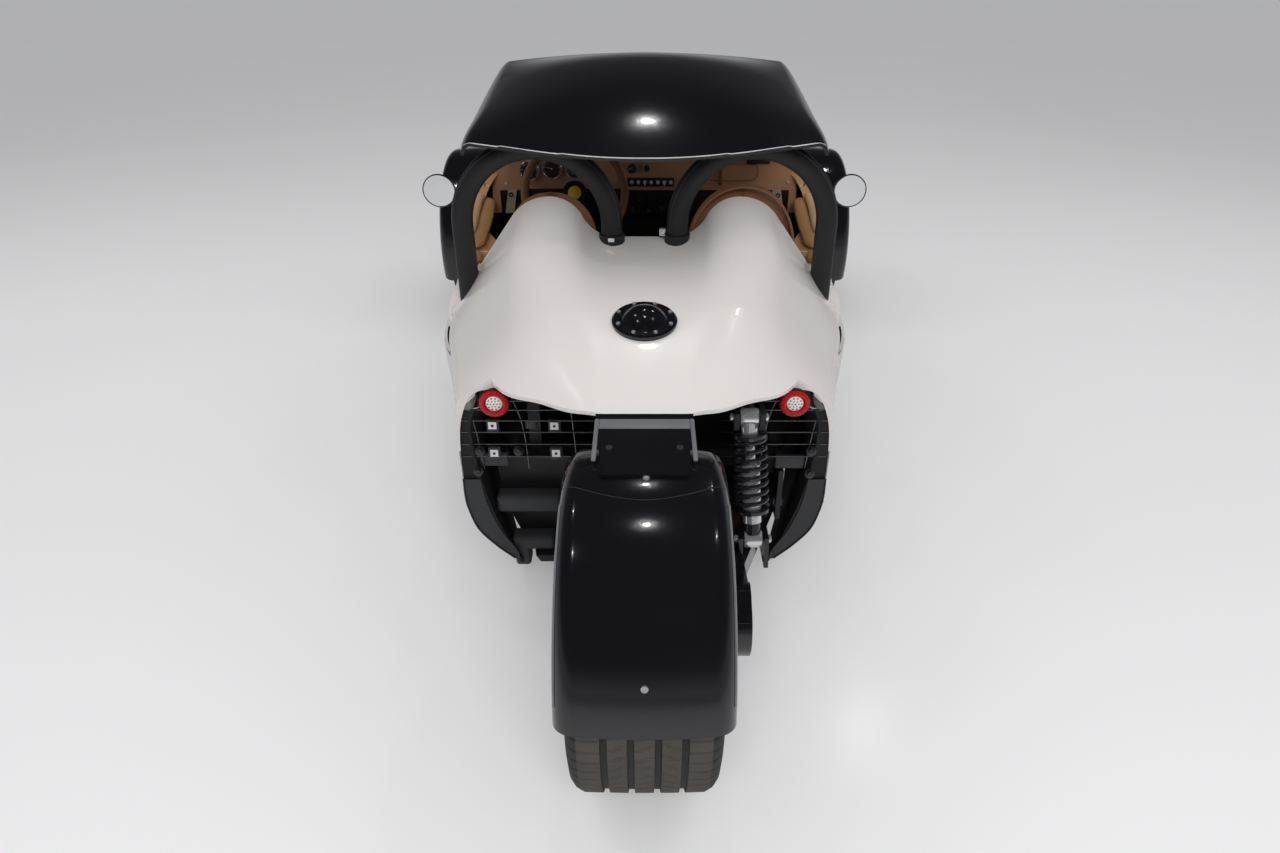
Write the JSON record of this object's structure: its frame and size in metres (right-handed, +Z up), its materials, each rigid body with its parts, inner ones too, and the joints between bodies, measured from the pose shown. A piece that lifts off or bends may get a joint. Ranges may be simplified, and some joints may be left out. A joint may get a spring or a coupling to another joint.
{
  "type": "three wheeled car",
  "caption": "Low open sports three-wheeler: cream body, black roof cap, roll hoops, brown seats, two steered wheels ahead, one trailing wheel on a side swingarm.",
  "frame": {"origin": "on the ground, below the middle of the car's length and width", "axes": "+Y ahead, +X to the car's right, +Z up"},
  "size_m": [1.744, 3.6549, 1.2236],
  "materials": {
    "body_paint": "gloss cream white",
    "black_gloss": "gloss black",
    "black_satin": "satin black powder coat",
    "black_matte": "matte black",
    "frame_grey": "dark grey coat",
    "steel": "machined steel",
    "iron": "turned brake face",
    "alloy": "cast alloy",
    "wheel_dark": "dark coated alloy",
    "chrome": "polished",
    "tyre": "tread and sidewall rubber",
    "leather": "saddle brown, stitched",
    "screen": "clear",
    "lens_clear": "clear lens",
    "lens_red": "red lens",
    "mirror_shell": "gloss black"
  },
  "bodies": {
    "chassis": {"bonnet": "body_paint", "chassis_frame": "black_satin", "dashboard": "black_matte", "door_hinges": "black_satin", "drive_shafts": "steel", "engine": "frame_grey", "exhaust_muffler": "steel", "front_frame": "black_satin", "front_grille": "black_satin", "front_suspension": "steel", "fuel_cap": "black_gloss", "headlamp_lenses": "lens_clear", "headlamps": "chrome", "instruments": "black_matte", "nose_shell": "body_paint", "radiator": "black_matte", "rear_deck": "body_paint", "rear_fender": "black_gloss", "rear_frame": "black_satin", "rear_mesh": "black_satin", "rear_shock": "steel", "roll_hoops": "black_satin", "roof_cap": "black_gloss", "seat_backs": "leather", "seat_bases": "leather", "side_panels": "body_paint", "sills": "black_gloss", "steering_column": "black_matte", "swingarm": "frame_grey", "tail_bridge": "black_satin", "tail_lamps": "lens_red", "windshield_frame": "black_satin", "windshield_glass": "screen"},
    "door_left_body": {"door_left": "body_paint", "door_trim_left": "leather", "mirror_left": "mirror_shell"},
    "knuckle_left_body": {"knuckle_left": "alloy", "front_fender_left": "black_gloss"},
    "front_wheel_left": {"front_tyre_left": "tyre", "front_rim_left": "wheel_dark", "front_disc_left": "iron"},
    "door_right_body": {"door_right": "body_paint", "door_trim_right": "leather", "mirror_right": "mirror_shell"},
    "knuckle_right_body": {"knuckle_right": "alloy", "front_fender_right": "black_gloss"},
    "front_wheel_right": {"front_tyre_right": "tyre", "front_rim_right": "wheel_dark", "front_disc_right": "iron"},
    "rear_wheel": {"rear_tyre": "tyre", "rear_rim": "wheel_dark", "rear_disc": "iron"},
    "steering_wheel_body": {"steering_wheel": "leather"}
  },
  "joints": [
    {"name": "steer_left", "type": "hinge", "parent": "chassis", "child": "knuckle_left_body", "pos_m": [-0.672, 1.0725, 0.318], "axis": [0, 0, 1], "range_deg": [-28, 28]},
    {"name": "front_wheel_left_spin", "type": "hinge", "parent": "knuckle_left_body", "child": "front_wheel_left", "pos_m": [-0.745, 1.0725, 0.318], "axis": [1, 0, 0], "continuous": true},
    {"name": "door_left_hinge", "type": "hinge", "parent": "chassis", "child": "door_left_body", "pos_m": [-0.578, 0.1025, 0.54], "axis": [0, 0, -1], "range_deg": [0, 60]},
    {"name": "steer_right", "type": "hinge", "parent": "chassis", "child": "knuckle_right_body", "pos_m": [0.672, 1.0725, 0.318], "axis": [0, 0, 1], "range_deg": [-28, 28]},
    {"name": "front_wheel_right_spin", "type": "hinge", "parent": "knuckle_right_body", "child": "front_wheel_right", "pos_m": [0.745, 1.0725, 0.318], "axis": [1, 0, 0], "continuous": true},
    {"name": "door_right_hinge", "type": "hinge", "parent": "chassis", "child": "door_right_body", "pos_m": [0.578, 0.1025, 0.54], "axis": [0, 0, 1], "range_deg": [0, 60]},
    {"name": "rear_wheel_spin", "type": "hinge", "parent": "chassis", "child": "rear_wheel", "pos_m": [0, -1.4675, 0.328], "axis": [1, 0, 0], "continuous": true},
    {"name": "steering_wheel_turn", "type": "hinge", "parent": "chassis", "child": "steering_wheel_body", "pos_m": [-0.23, 0.0325, 0.786], "axis": [0, -0.9272, 0.3746], "range_deg": [-420, 420]}
  ],
  "couplings": [
    {"joint": "steer_right", "follows": "steer_left", "ratio": 1},
    {"joint": "steering_wheel_turn", "follows": "steer_left", "ratio": 15}
  ]
}
